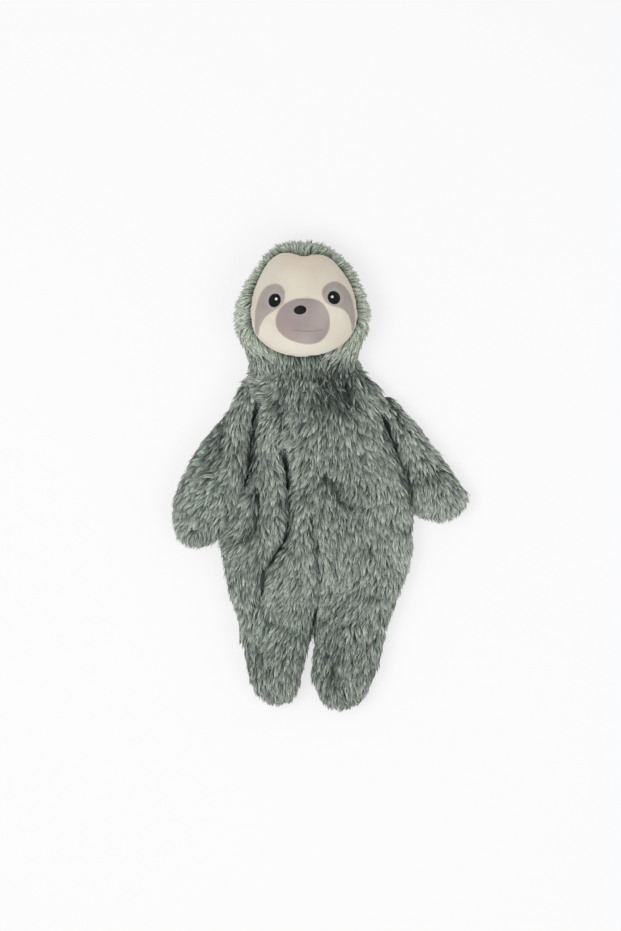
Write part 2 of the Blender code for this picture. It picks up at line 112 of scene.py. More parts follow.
class Paint:
    def __init__(self, name):
        self.material = bpy.data.materials.new(name)
        self.material.use_nodes = True
        self.tree = self.material.node_tree
        self.shader = self.tree.nodes["Principled BSDF"]

    def feed(self, socket, value):
        if isinstance(value, Socket):
            self.tree.links.new(value.out, socket)
        else:
            socket.default_value = value

    def node(self, kind, settings, values, output=0):
        made = self.tree.nodes.new(kind)
        for key, value in settings.items():
            if key == "stops":
                stops = made.color_ramp.elements
                stops.remove(stops[1])
                stops[0].position = value[0][0]
                stops[0].color = (*value[0][1], 1)
                for place, colour in value[1:]:
                    stops.new(place).color = (*colour, 1)
            else:
                setattr(made, key, value)
        for key, value in values.items():
            self.feed(made.inputs[key], value)
        return Socket(self, made.outputs[output])

    def ramp(self, value, stops):
        return self.node("ShaderNodeValToRGB", {"stops": stops}, {"Fac": value})

    def mix(self, factor, first, second, blend="MIX"):
        # 0, 6 and 7 are the sockets for colours, and 2 is the mixed colour
        settings = {"data_type": "RGBA", "blend_type": blend}
        return self.node("ShaderNodeMix", settings, {0: factor, 6: first, 7: second}, 2)

    def part(self, where, axis):
        return self.node("ShaderNodeSeparateXYZ", {}, {0: where}, axis)

    def noise(self, scale, detail, roughness):
        where = self.node("ShaderNodeTexCoord", {}, {}, "Object")
        values = {"Vector": where, "Scale": scale, "Detail": detail, "Roughness": roughness}
        return self.node("ShaderNodeTexNoise", {}, values)

    def bump(self, height, strength, distance):
        values = {"Height": height, "Strength": strength, "Distance": distance}
        self.feed(self.shader.inputs["Normal"], self.node("ShaderNodeBump", {}, values))

    def finish(self, colour, values):
        self.feed(self.shader.inputs["Base Color"], colour)
        for key, value in values.items():
            self.feed(self.shader.inputs[key], value)
        return self.material


# pile: from dark root to frosted tip along a strand, and from dull strands to bright ones
pile = {
    "body": [
        (0, srgb(48, 58, 52)), (0.3, srgb(95, 107, 99)), (0.65, srgb(155, 166, 158)),
        (1, srgb(230, 238, 230)),
    ],
    # the hood's pile is the same pile with paler roots and middles, painted light for its steep
    # sides that the lamps reach less
    "hood": [
        (0, srgb(92, 101, 92)), (0.3, srgb(126, 136, 127)), (0.65, srgb(168, 178, 168)),
        (1, srgb(229, 235, 226)),
    ],
    "bright": [(0, (0.14, 0.16, 0.15)), (0.5, (1, 1, 0.99)), (1, (1.72, 1.66, 1.57))],
    "shader": {"Roughness": 0.72, "Specular IOR Level": 0.3, "Sheen Weight": 0.15},
    "map": "OFBake",
}


def pilePaint(name, stops):
    paint = Paint(name)
    place = paint.node("ShaderNodeUVMap", {"uv_map": pile["map"]}, {})
    tone = paint.part(place, "X")
    along = paint.part(place, "Y")
    colour = paint.mix(1.0, paint.ramp(along, stops), paint.ramp(tone, pile["bright"]), "MULTIPLY")
    return paint.finish(colour, pile["shader"])


# each noise below: its scale, detail and roughness
backing = {
    "stops": [(0.3, srgb(50, 60, 55)), (0.7, srgb(88, 99, 92))], "mottle": (900, 3, 0.7),
    "grain": (1500, 3, 0.7), "bump": 0.8, "height": 0.8 * mm, "shader": {"Roughness": 0.95},
}


def backingPaint():
    paint = Paint("pileBacking")
    colour = paint.ramp(paint.noise(*backing["mottle"]), backing["stops"])
    paint.bump(paint.noise(*backing["grain"]), backing["bump"], backing["height"])
    return paint.finish(colour, backing["shader"])


velour = {
    "blotch": (28, 2, 0.5), "blotchStops": (0.30, 0.50, 0.72),
    "nap": (2600, 4, 0.75), "napStops": [(0.3, (0.86, 0.86, 0.86)), (0.7, (1.08, 1.08, 1.08))],
    "bump": 0.35, "height": 0.3 * mm,
    "wear": (420, 3, 0.6), "wearShare": 0.5, "rimStops": [(0.05, (0, 0, 0)), (0.62, (1, 1, 1))],
    "shader": {"Roughness": 0.9, "Specular IOR Level": 0.2, "Sheen Weight": 0.5,
               "Sheen Roughness": 0.5},
}


def velourPaint(name, tones, spots, rim=None):
    # a spot is a soft round change of tone: its middle, core and edge, share and colour
    paint = Paint(name)
    blotch = paint.noise(*velour["blotch"])
    nap = paint.noise(*velour["nap"])
    colour = paint.ramp(blotch, list(zip(velour["blotchStops"], tones)))
    where = paint.node("ShaderNodeTexCoord", {}, {}, "Object")
    for place, core, edge, share, tone in spots:
        middle = atPixel(*place)
        x = paint.part(where, "X") - middle.x
        y = paint.part(where, "Y") - middle.y
        stops = [(core / edge, (share,) * 3), (1.0, (0, 0, 0))]
        spot = paint.ramp((x * x + y * y) ** 0.5 * (1 / edge), stops)
        colour = paint.mix(spot, colour, (*tone, 1))
    colour = paint.mix(1.0, colour, paint.ramp(nap, velour["napStops"]), "MULTIPLY")
    if rim:
        edge = paint.node("ShaderNodeAttribute", {"attribute_name": "rimDistance"}, {}, "Fac")
        worn = edge + (paint.noise(*velour["wear"]) - 0.5) * velour["wearShare"]
        colour = paint.mix(paint.ramp(worn, velour["rimStops"]), (*rim, 1), colour)
    paint.bump(nap, velour["bump"], velour["height"])
    return paint.finish(colour, velour["shader"])


thread = {
    "streak": (900, 2, 0.6), "streakShare": 0.6, "stops": (0.2, 0.8), "grain": (2700, 2, 0.6),
    "bump": 0.4, "height": 0.1 * mm, "specular": 0.3,
}


def threadPaint(name, dark, light, roughness):
    paint = Paint(name)
    place = paint.node("ShaderNodeUVMap", {"uv_map": pile["map"]}, {})
    tone = paint.part(place, "X")
    tone += (paint.noise(*thread["streak"]) - 0.5) * thread["streakShare"]
    colour = paint.ramp(tone, list(zip(thread["stops"], (dark, light))))
    paint.bump(paint.noise(*thread["grain"]), thread["bump"], thread["height"])
    return paint.finish(colour, {"Roughness": roughness, "Specular IOR Level": thread["specular"]})


def coordinates(mesh, name="co"):
    found = np.empty(len(mesh.vertices) * 3)
    mesh.vertices.foreach_get(name, found)
    return found.reshape(-1, 3)


def movePoints(mesh, points):
    mesh.vertices.foreach_set("co", points.ravel())
    mesh.update()


def smoothLoop(points, step):
    # a closed curve through the points, read about a step apart, running anticlockwise
    knots = [points[-1], *points, points[0], points[1]]
    found = []
    for a, b, c, d in zip(knots, knots[1:], knots[2:], knots[3:]):
        count = max(1, round((c - b).length / step))
        for i in range(count):
            t = i / count
            straight = (c - a) * t
            bend = (2 * a - 5 * b + 4 * c - d) * t**2
            twist = (3 * b - a - 3 * c + d) * t**3
            found.append(b + (straight + bend + twist) / 2)
    area = sum(p.x * q.y - q.x * p.y for p, q in zip(found, found[1:] + found[:1]))
    return found if area > 0 else found[::-1]


def outlineOf(settings, step):
    return smoothLoop(atPixels(settings["outline"]), step)


def shrinkLoop(loop, inset):
    found = []
    for before, point, after in zip(loop[-1:] + loop, loop, loop[1:] + loop[:1]):
        way = (after - before).normalized()
        found.append(point + Vector((-way.y, way.x, 0)) * inset)
    return found


def insideLoop(points, loop):
    line = np.array([p[:2] for p in loop])
    inside = np.zeros(len(points), bool)
    for start, end in zip(line, np.roll(line, -1, 0)):
        crosses = (start[1] > points[:, 1]) != (end[1] > points[:, 1])
        level = (points[:, 1] - start[1]) / (end[1] - start[1] + 1e-12)
        inside ^= crosses & (points[:, 0] < start[0] + level * (end[0] - start[0]))
    return inside


def distanceTo(points, line, closed=False):
    # (distance, share along) of each point from a line in plan
    line = np.array([p[:2] for p in line])
    ends = np.roll(line, -1, 0) if closed else line[1:]
    starts = line if closed else line[:-1]
    best = np.full(len(points), np.inf)
    along = np.zeros(len(points))
    for i, (start, end) in enumerate(zip(starts, ends)):
        way = end - start
        t = np.clip(((points[:, :2] - start) @ way) / (way @ way), 0, 1)
        away = np.linalg.norm(points[:, :2] - start - t[:, None] * way, axis=1)
        near = away < best
        best[near] = away[near]
        along[near] = (i + t[near]) / len(starts)
    return best, along


def stepUp(values, low, high):
    t = np.clip((values - low) / (high - low), 0, 1)
    return t * t * (3 - 2 * t)


def unit(vectors):
    return vectors / np.maximum(np.linalg.norm(vectors, axis=-1, keepdims=True), 1e-9)


def meshFrom(shape, name):
    mesh = bpy.data.meshes.new(name)
    shape.to_mesh(mesh)
    shape.free()
    return mesh


def link(name, mesh):
    obj = bpy.data.objects.new(name, mesh)
    bpy.context.scene.collection.objects.link(obj)
    return obj


def applied(obj):
    graph = bpy.context.evaluated_depsgraph_get()
    made = bpy.data.meshes.new_from_object(obj.evaluated_get(graph))
    obj.modifiers.clear()
    old = obj.data
    obj.data = made
    bpy.data.meshes.remove(old)
    made.name = obj.name
    return made


def rounded(obj):
    soft = obj.modifiers.new("round", "SUBSURF")
    soft.levels = soft.render_levels = 1
    return applied(obj)


def flatPad(name, loop, voxel):
    # a flat pad of even faces with this outline, and the level of each point, 0 below and 1 on top
    shape = bmesh.new()
    rim = [shape.verts.new((point.x, point.y, 0)) for point in loop]
    bmesh.ops.contextual_create(shape, geom=rim)
    raised = bmesh.ops.extrude_face_region(shape, geom=shape.faces[:])["geom"]
    top = [item for item in raised if isinstance(item, bmesh.types.BMVert)]
    bmesh.ops.translate(shape, verts=top, vec=(0, 0, voxel * 2))
    bmesh.ops.recalc_face_normals(shape, faces=shape.faces)
    pad = link(name, meshFrom(shape, name))
    even = pad.modifiers.new("even", "REMESH")
    even.mode = "VOXEL"
    even.voxel_size = voxel
    points = coordinates(applied(pad))
    return pad, points, points[:, 2] / (voxel * 2)


def averagerOf(mesh):
    # gives each point the mean of its neighbours' values
    ends = np.empty(len(mesh.edges) * 2, np.int32)
    mesh.edges.foreach_get("vertices", ends)
    a, b = ends.reshape(-1, 2).T
    n = len(mesh.vertices)
    share = np.bincount(a, minlength=n) + np.bincount(b, minlength=n)
    return lambda values: (np.bincount(a, values[b], n) + np.bincount(b, values[a], n)) / share


def swellOf(average, inside, rounds):
    # how far blown-up cloth would rise: 0 along the seam and 1 at the highest point
    height = np.zeros(len(inside))
    for _ in range(rounds):
        height = np.where(inside, average(height) + 1, 0)
    return height / height.max()


# all stuffed forms: where they rest, their seam's height, and over which length it climbs
cloth = {
    "rest": 3.5 * mm, "seam": 20 * mm, "climb": 40 * mm, "edge": 0.6, "evening": 3,
    "rimLevel": 0.35, "frontNormal": 0.1, "foldEnds": 0.2, "fill": 0.6,
}


def fold(line, depth, width, dark, gap=0):
    # a crease, or a ridge where its depth is below 0, in mm: strands keep the gap off its line. Its
    # dark is painted shade on the strands along the line, and painted light where it is below 0
    return {"line": atPixels(line), "depth": depth * mm, "width": width * mm, "dark": dark,
            "gap": gap * mm}


def foldShare(points, crease):
    # how much of a fold there is: all of it on its line, fading sideways and at its ends
    away, along = distanceTo(points, crease["line"])
    ends = stepUp(np.minimum(along, 1 - along), 0, cloth["foldEnds"])
    return np.exp(-(away / crease["width"]) ** 2) * ends


def stuffedSkin(name, form):
    # blown up to a crown in front and to the floor behind, rounded, and then folded
    voxel = form["voxel"]
    pad, points, level = flatPad(name, shrinkLoop(outlineOf(form, voxel), form["inset"]), voxel)
    mesh = pad.data
    average = averagerOf(mesh)
    swell = swellOf(average, abs(level - 0.5) > cloth["rimLevel"], form["rounds"])
    climb = stepUp(points[:, 1] - hinges["head"]["pos_m"][1], 0, cloth["climb"])
    seam = cloth["seam"] + form["seamRise"] * climb
    rise = (form["crown"] - seam) * swell ** form["frontPower"]
    drop = (seam - cloth["rest"]) * swell ** form["backPower"]
    edge = (level - 0.5) * voxel * cloth["edge"]
    points[:, 2] = seam + np.where(level > 0.5, rise, -drop) + edge
    for _ in range(cloth["evening"]):
        points[:, 2] = 0.5 * points[:, 2] + 0.5 * average(points[:, 2])
    movePoints(mesh, points)
    mesh = rounded(pad)
    points = coordinates(mesh)
    front = coordinates(mesh, "normal")[:, 2] > cloth["frontNormal"]
    for crease in form["folds"]:
        points[:, 2] -= np.where(front, crease["depth"] * foldShare(points, crease), 0)
    points[:, 2] = np.maximum(points[:, 2], cloth["rest"])
    movePoints(mesh, points)
    mesh.shade_smooth()
    print("skin", name, len(mesh.polygons))
    return pad


# each form: its outline and folds in the photograph, its cloth, and its pile: combed at (x, y)
# to the right, downwards and how bright, and ruffled at a place over a size by an amount
rightSlots = [
    fold([(257, 398), (256, 416), (254.5, 431), (253, 455), (250.5, 467), (246, 479), (240, 488)],
         7, 4.5, 1.0, 2.0),
    fold([(254.2, 410), (252.6, 426), (251.8, 446)], 2, 5.5, 0.9, 3.3),
    fold([(253, 438), (251.5, 452), (250.5, 464), (249.8, 478)], 3, 6.5, 0.9, 4.9),
]
leftSlots = [
    fold([(380, 412), (386, 423), (391, 434), (396, 447), (400, 460), (406, 478), (410, 495),
          (415, 512)], 6, 4.5, 0.9, 1.8),
    fold([(384, 417), (388, 427), (393, 439), (398, 453)], 3, 5, 0.9, 3.2),
]
torsoForm = {
    "outline": [
        (252, 366), (275, 361), (306, 359), (338, 361), (361, 366), (369, 377), (381, 392),
        (387, 412), (392, 428), (398, 442), (403, 458), (409, 476), (412, 492), (414, 510),
        (413, 530), (414, 546), (411, 562), (407, 577), (400, 596), (392, 616), (387, 632),
        (382, 648), (350, 652), (324, 648), (312, 636), (300, 648), (272, 652), (242, 646),
        (239, 628), (235, 612), (229, 596), (225, 578), (223, 560), (219, 545), (217, 532),
        (226, 512), (241, 490), (247, 470), (250, 450), (251, 430), (251, 410), (247, 392),
        (246, 376),
    ],
    "voxel": 3.6 * mm, "inset": 4.0 * mm, "crown": 40 * mm, "seamRise": 0,
    "frontPower": 0.80, "backPower": 0.30, "rounds": 2500,
    "seed": 10, "slope": 0.2, "sag": 0.15, "stand": 0.3,
    "hiddenBy": ("right_arm", "left_arm", "right_leg", "left_leg", "head"),
    "folds": [
        *rightSlots, *leftSlots,
        fold([(283, 450), (286, 463), (289, 480), (289, 520), (286, 542), (277, 555), (267, 570),
              (263, 592)], 15, 5, 0.7),
        fold([(282, 448), (285, 463), (288, 478), (288.5, 496)], 0, 4, 0.5, 2.9),
        fold([(287.5, 490), (288, 520), (286, 540), (281, 550)], 0, 3, 0.4, 2.1),
        fold([(283, 545), (277, 553), (270, 562), (265, 574), (261, 602)], 0, 3, 0.5, 1.5),
        fold([(268, 404), (269, 440), (273, 480), (280, 535)], -4.5, 6, -0.05),
        fold([(257, 484), (261, 508), (256, 522), (247, 546)], 7, 4.5, 0.55, 0.9),
        fold([(241, 488), (236, 500), (225, 520), (219, 540)], 3, 4, 0.4, 0.5),
        fold([(262, 582), (258, 612), (257, 634), (258, 662)], 5, 6, 0.5),
        fold([(311, 510), (314, 545), (318, 570), (320, 596)], 5, 3.5, 0.8, 1.3),
        fold([(306, 490), (308, 545), (313, 595)], -2.5, 4, -0.18),
        fold([(321, 505), (325, 560), (328, 605)], -2.5, 4, -0.18),
        fold([(322, 460), (335, 485), (345, 500), (362, 510)], 5, 8, 0.18),
        fold([(343, 376), (348, 392), (352, 408)], 9, 4, 0.8, 1.0),
        fold([(390, 570), (368, 594), (336, 620)], -3, 5, -0.1),
        fold([(383, 583), (360, 600), (334, 612)], 3, 6, 0.15),
        fold([(281, 388), (284, 410), (288, 432)], 4, 6, 0.25),
        fold([(318, 604), (314, 620), (312, 645)], 7, 4.5, 0.7, 0.9),
        fold([(403, 490), (404, 530), (404, 570)], -2.5, 5, -0.04),
    ],
    # how bright is partly painted shade: the pile under the chin and in the belly's hollow is
    # combed dark as painted shadow
    "combed": [
        (262, 385, -0.9, 0.35, 0.0), (300, 380, -0.2, 1, -0.12), (326, 378, 0.1, 1, -0.45),
        (341, 385, 0.1, 1, -0.55), (357, 380, 0.6, 0.8, -0.05), (370, 398, 0.7, 0.75, 0.03),
        (268, 420, -0.35, 1, 0.04), (270, 470, 0.10, 1, 0.04), (278, 520, 0.30, 1, 0.04),
        (252, 505, -0.45, 0.9, -0.04), (240, 545, -0.45, 0.9, 0.0), (234, 585, -0.25, 1, 0.10),
        (258, 560, -0.1, 1, -0.04), (297, 440, -0.5, 0.7, 0.02), (303, 480, -0.35, 0.9, -0.02),
        (300, 530, -0.15, 1, 0.0), (285, 580, -0.45, 0.85, 0.0), (285, 620, -0.35, 0.9, -0.02),
        (318, 440, 0, 1, 0.0), (318, 500, 0.1, 1, 0.0), (320, 560, 0.12, 1, 0.03),
        (352, 430, -0.05, 1, -0.04), (345, 495, -0.15, 1, -0.12), (380, 450, 0.1, 1, 0.04),
        (397, 500, 0.12, 1, 0.13), (406, 550, 0.06, 1, 0.23), (372, 560, -0.2, 1, 0.06),
        (355, 603, -0.6, 0.8, 0.02), (395, 600, -0.15, 1, 0.14), (345, 640, 0.05, 1, -0.08),
        (262, 640, -0.2, 1, -0.06), (298, 640, 0.05, 1, -0.02), (240, 610, 0.10, 1, 0.13),
    ],
    "ruffled": [((322, 384), 18 * mm, 0.5)],
}
hoodForm = {
    "outline": [
        (251, 372), (245, 353), (239, 339), (235, 325), (236, 306), (242, 291), (249, 278),
        (257, 267), (267, 254), (282, 244), (300, 242), (320, 243), (337, 254), (350, 266),
        (358, 280), (364, 293), (368, 306), (370, 320), (367, 334), (362, 346), (360, 356),
        (362, 369), (340, 375), (306, 376), (272, 375),
    ],
    "voxel": 3.2 * mm, "inset": 4.6 * mm, "crown": 78 * mm, "seamRise": 16 * mm,
    "frontPower": 0.86, "backPower": 0.28, "rounds": 1500, "folds": [],
    "seed": 20, "slope": 0.3, "sag": 0.1, "stand": 0.5, "hiddenBy": ("torso",),
    # the hood's sides are combed bright as painted light, and its hem under the chin dark as
    # painted shadow
    "combed": [
        (286, 246, -0.35, -0.9, 0.30), (302, 244, 0.3, -0.95, 0.22), (303, 253, 0.3, -0.95, 0.30),
        (319, 246, 0.75, -0.65, 0.34), (272, 253, -0.7, -0.7, 0.38), (257, 268, -0.9, -0.4, 0.38),
        (246, 285, -0.95, 0.0, 0.42), (239, 305, -0.85, 0.45, 0.46), (238, 325, -0.75, 0.6, 0.48),
        (247, 315, -0.8, 0.5, 0.44), (247, 333, 0.3, 0.95, 0.40), (253, 340, 0.7, 0.7, 0.42),
        (262, 349, 0.8, 0.6, 0.32), (243, 346, 0.2, 0.95, 0.32), (258, 358, -0.1, 1, 0.04),
        (276, 357, 0.4, 0.9, 0.04), (280, 368, -0.4, 1, -0.20), (303, 360, 0.1, 1, -0.04),
        (303, 370, -0.1, 1, -0.25), (322, 364, 0.1, 1, -0.34), (325, 374, 0.1, 1, -0.58),
        (338, 366, 0.0, 1, -0.42), (344, 376, 0.2, 1, -0.46), (336, 353, -0.85, 0.55, 0.14),
        (349, 343, -0.75, 0.65, 0.34), (358, 333, -0.5, 0.85, 0.42), (356, 364, 0.4, 0.9, 0.02),
        (365, 332, 0.4, 0.9, 0.44), (361, 346, -0.2, 1, 0.34), (368, 315, 0.9, 0.35, 0.46),
        (361, 310, 0.9, 0.2, 0.44), (361, 288, 0.9, -0.1, 0.38), (344, 262, 0.85, -0.5, 0.38),
    ],
    "ruffled": [((312, 370), 20 * mm, 0.35), ((303, 248), 14 * mm, 0.55)],
}
armCloth = {
    "voxel": 3.0 * mm, "inset": 4.4 * mm, "crown": 28 * mm, "seamRise": 0, "frontPower": 0.55,
    "backPower": 0.28, "rounds": 900, "slope": 0.2, "sag": 0.15, "stand": 0.2,
    "ruffled": [], "hiddenBy": ("torso",),
}
rightArmForm = {
    **armCloth, "seed": 30,
    "outline": [
        (262, 398), (257, 381), (247, 376), (238, 386), (233, 398), (226, 411), (215, 424),
        (205, 437), (197, 449), (190, 461), (183, 474), (177, 487), (173, 502), (172, 516),
        (174, 530), (179, 541), (187, 546), (196, 548), (206, 546), (215, 542), (227, 530),
        (238, 508), (246, 492), (252, 480), (257, 462), (259, 440), (261, 418),
    ],
    "folds": [
        *rightSlots,
        fold([(234, 400), (228, 420), (222, 446), (214, 463), (203, 480)], 5, 5.5, 0.32),
        fold([(247, 386), (242, 412), (237, 440), (233, 470), (234, 496)], -5, 6, -0.08),
    ],
    "combed": [
        (222, 425, -0.8, 0.6, 0.0), (207, 452, -0.85, 0.5, -0.04), (190, 490, -0.8, 0.6, 0.03),
        (180, 520, -0.5, 0.9, 0.08), (205, 535, -0.1, 1, 0.0), (215, 505, -0.6, 0.8, 0.02),
        (236, 420, -0.3, 1, 0.05), (236, 460, -0.1, 1, 0.06), (236, 488, 0.15, 1, 0.02),
        (242, 396, -0.3, 1, 0.04), (222, 480, -0.6, 0.8, 0.0), (247, 445, 0.15, 1, -0.15),
    ],
}
leftArmForm = {
    **armCloth, "seed": 40,
    "outline": [
        (366, 380), (371, 378), (381, 387), (395, 398), (405, 411), (416, 422), (426, 435),
        (435, 447), (444, 459), (453, 471), (461, 483), (469, 494), (469, 502), (462, 512),
        (450, 520), (438, 522), (426, 519), (414, 514), (405, 497), (400, 476), (394, 458),
        (388, 444), (382, 430), (377, 412), (371, 396),
    ],
    "folds": [
        *leftSlots,
        fold([(396, 450), (405, 468), (414, 478), (430, 474), (446, 466)], 1.5, 8, 0.3),
        fold([(377, 396), (393, 416), (406, 436), (412, 456)], -3, 6, -0.12),
        fold([(379, 392), (388, 402), (396, 416), (405, 434)], 2.5, 2.5, 0.6, 0.8),
    ],
    "combed": [
        (382, 402, 0.6, 0.8, 0.19), (400, 415, 0.65, 0.75, 0.20), (404, 440, 0.4, 0.9, 0.19),
        (425, 430, 0.6, 0.8, 0.20), (442, 458, 0.55, 0.85, 0.17), (457, 487, 0.4, 0.9, 0.21),
        (440, 500, 0.25, 1, 0.20), (424, 503, 0.15, 1, 0.14), (412, 470, 0.25, 1, 0.04),
    ],
}
legCloth = {**armCloth, "inset": 4.6 * mm, "crown": 30 * mm, "frontPower": 0.6, "slope": 0.15}
rightLegForm = {
    **legCloth, "seed": 50,
    "outline": [
        (239, 636), (243, 651), (246, 664), (248, 677), (252, 690), (261, 700), (272, 706),
        (285, 705), (295, 699), (299, 690), (303, 674), (306.5, 658), (310, 641), (307, 604),
        (274, 588), (243, 602),
    ],
    "folds": [
        fold([(255, 634), (260, 656), (262, 680)], 3, 6, 0.2),
        fold([(311, 636), (308, 658), (304, 680)], 2, 4, 0.4),
    ],
    "combed": [
        (250, 640, 0.05, 1, 0.06), (252, 672, 0.05, 1, 0.06), (265, 655, -0.25, 1, -0.06),
        (285, 645, -0.35, 0.9, 0.0), (285, 670, -0.3, 0.95, 0.0), (300, 670, -0.1, 1, -0.02),
        (275, 695, -0.1, 1, 0.02), (292, 690, -0.05, 1, 0.04),
    ],
}
leftLegForm = {
    **legCloth, "seed": 60,
    "outline": [
        (385, 636), (382, 655), (380, 667), (374, 680), (367.5, 694), (358, 704), (341, 710.5),
        (326, 707), (318, 695), (314, 686), (310, 679), (311, 667), (313, 654), (314.5, 641),
        (317, 604), (350, 586), (382, 602),
    ],
    "folds": [fold([(330, 640), (336, 665), (334, 688)], 3, 6, 0.2)],
    "combed": [
        (322, 655, -0.05, 1, -0.04), (340, 650, -0.1, 1, -0.10), (360, 655, -0.2, 1, -0.04),
        (376, 655, -0.15, 1, 0.02), (345, 690, 0.05, 1, -0.04), (366, 685, -0.1, 1, 0.0),
        (324, 695, -0.05, 1, 0.02),
    ],
}
forms = {
    "torso": torsoForm, "head": hoodForm, "right_arm": rightArmForm, "left_arm": leftArmForm,
    "right_leg": rightLegForm, "left_leg": leftLegForm,
}
toyStep = 4 * mm
toyLoops = [outlineOf(form, toyStep) for form in forms.values()]


def withinToy(points):
    return np.any([insideLoop(points, loop) for loop in toyLoops], axis=0)


# where a strand lies on its map: sideways by its tone, and upwards from root to tip
strandMap = {"left": 0.01, "width": 0.98, "wrap": 0.003, "root": 0.02, "length": 0.96, "cap": 0.015}


def strandShape(sides, rings, pointed):
    # a strand or thread: rings a unit apart along Z, closed at its root and its tip
    shape = bmesh.new()
    long = rings - 1
    bmesh.ops.create_cone(shape, cap_ends=True, segments=sides, radius1=1, radius2=1, depth=long)
    bmesh.ops.translate(shape, verts=shape.verts, vec=(0, 0, long / 2))
    for level in range(1, long):
        everything = shape.verts[:] + shape.edges[:] + shape.faces[:]
        bmesh.ops.bisect_plane(shape, geom=everything, plane_co=(0, 0, level), plane_no=(0, 0, 1))
    if pointed:
        tip = [vert for vert in shape.verts if vert.co.z > long - 0.5]
        bmesh.ops.pointmerge(shape, verts=tip, merge_co=(0, 0, long))
    bmesh.ops.recalc_face_normals(shape, faces=shape.faces)
    shape.verts.index_update()
    knots = [vert.co for vert in shape.verts]
    made = {"ring": [round(co.z) for co in knots], "x": [co.x for co in knots],
            "y": [co.y for co in knots], "corner": [], "start": [], "u": [], "v": []}
    for face in shape.faces:
        made["start"].append(len(made["corner"]))
        middle = face.calc_center_median()
        lying = abs(face.normal.z) > 0.9
        facing = math.atan2(middle.y, middle.x)
        for loop in face.loops:
            place = loop.vert.co
            made["corner"].append(loop.vert.index)
            turn = (math.atan2(place.y, place.x) - facing + math.pi) % math.tau - math.pi
            atTip = math.hypot(place.x, place.y) < 0.01
            made["u"].append(place.x * 0.5 if lying else 0 if atTip else turn / math.pi)
            along = strandMap["length"] * place.z / long
            made["v"].append(strandMap["root"] + (strandMap["cap"] * place.y if lying else along))
    shape.free()
    return {key: np.array(value) for key, value in made.items()}


def layStrands(name, shape, paths, across, radii, flatness, tones, paint):
    # strands along paths (strand, ring, xyz), flat across one way, each with a tone from 0 to 1
    count, rings = paths.shape[:2]
    along = unit(np.gradient(paths, axis=1))
    first = unit(across[:, None] - along * (across[:, None] * along).sum(-1, keepdims=True))
    second = np.cross(along, first)
    ring = shape["ring"]
    offset = shape["x"][None, :, None] * first[:, ring]
    offset = offset + flatness * shape["y"][None, :, None] * second[:, ring]
    points = paths[:, ring] + radii[:, ring, None] * offset
    strand = np.arange(count)[:, None]
    corners = (shape["corner"][None] + strand * len(ring)).ravel()
    starts = (shape["start"][None] + strand * len(shape["corner"])).ravel()
    mesh = bpy.data.meshes.new(name)
    mesh.vertices.add(count * len(ring))
    mesh.vertices.foreach_set("co", points.ravel())
    mesh.loops.add(len(corners))
    mesh.loops.foreach_set("vertex_index", corners.astype(np.int32))
    mesh.polygons.add(len(starts))
    mesh.polygons.foreach_set("loop_start", starts.astype(np.int32))
    mesh.update(calc_edges=True)
    places = np.empty((count, len(shape["corner"]), 2))
    places[..., 0] = strandMap["left"] + strandMap["width"] * tones[:, None]
    places[..., 0] += strandMap["wrap"] * shape["u"][None]
    places[..., 1] = shape["v"][None]
    mesh.uv_layers.new(name=pile["map"]).data.foreach_set("uv", places.ravel())
    mesh.shade_smooth()
    mesh.materials.append(paint)
    return link(name, mesh)


swirls = {"waves": 5, "sizes": (0.7, 1.6), "height": 2.2}


def swirl(points, size, seed):
    # slow waves over the cloth, about -1 to 1
    dice = np.random.default_rng(seed)
    total = np.zeros(len(points))
    for _ in range(swirls["waves"]):
        way = unit(dice.normal(size=3))
        scale = size * dice.uniform(*swirls["sizes"])
        total += np.sin(points @ way * math.tau / scale + dice.uniform(0, math.tau))
    return total / swirls["height"]


def skinTree(obj):
    shape = bmesh.new()
    shape.from_mesh(obj.data)
    tree = BVHTree.FromBMesh(shape)
    shape.free()
    return tree


def within(tree, point):
    found, normal = tree.ray_cast(point, upwards)[:2]
    return found is not None and normal.z > 0


def rootsOn(skin, part, others, dice):
    # roots spread over the cloth by area, clear of what other skins hide
    mesh = skin.data
    mesh.calc_loop_triangles()
    corners = np.empty(len(mesh.loop_triangles) * 3, np.int32)
    mesh.loop_triangles.foreach_get("vertices", corners)
    corners = corners.reshape(-1, 3)
    points = coordinates(mesh)
    normals = coordinates(mesh, "normal")
    a, b, c = (points[corners[:, i]] for i in range(3))
    area = np.linalg.norm(np.cross(b - a, c - a), axis=1) / 2
    chance = area * part["keep"]((a + b + c) / 3, unit(normals[corners].mean(1)))
    count = int(chance.sum() * part["density"])
    picked = dice.choice(len(corners), count, p=chance / chance.sum())
    one = np.sqrt(dice.random(count))
    two = dice.random(count)
    share = np.stack([1 - one, one * (1 - two), one * two], 1)[..., None]
    roots = (points[corners[picked]] * share).sum(1)
    ways = unit((normals[corners[picked]] * share).sum(1))
    hidden = np.zeros(count, bool)
    for tree in others:
        hidden |= np.array([within(tree, Vector(root)) for root in roots])
    return roots[~hidden], ways[~hidden]


# strands: how deep their roots are in mm, where folds shape them, how slow swirls turn and tint
# them, how they differ by whole locks and one by one, and how they are cut back at the outline
strands = {
    "rooted": 0.6, "flatness": 0.8, "foldsAbove": 15 * mm, "combReach": 7 * mm,
    "wideSwirl": (0.20, 45 * mm), "fineSwirl": (0.14, 14 * mm), "toneSwirl": (0.03, 60 * mm),
    "turn": (0.15, 0.07), "bend": (0.14, 0.09), "bendAlong": (0, 1.0, -0.5),
    "length": (0.12, (0.6, 1.4), (0.85, 1.08)), "lift": (0.28, (0.4, 1.7), (0.9, 1.1)),
    "steepest": 0.99, "radius": (0.75, 1.2), "tone": (0.17, 0.13), "gatherPower": 1.5,
    "slack": (5.4, 0.8, 1.6), "trims": 10, "trimShare": 0.87,
}
# the shares of a strand tried against a fold, and what is left of it there
foldLip = {
    "tried": (1.0, 0.88, 0.76, 0.64, 0.52, 0.40, 0.28, 0.16, 0.0), "back": 0.10, "least": 0.16,
    "ends": 0.04,
}


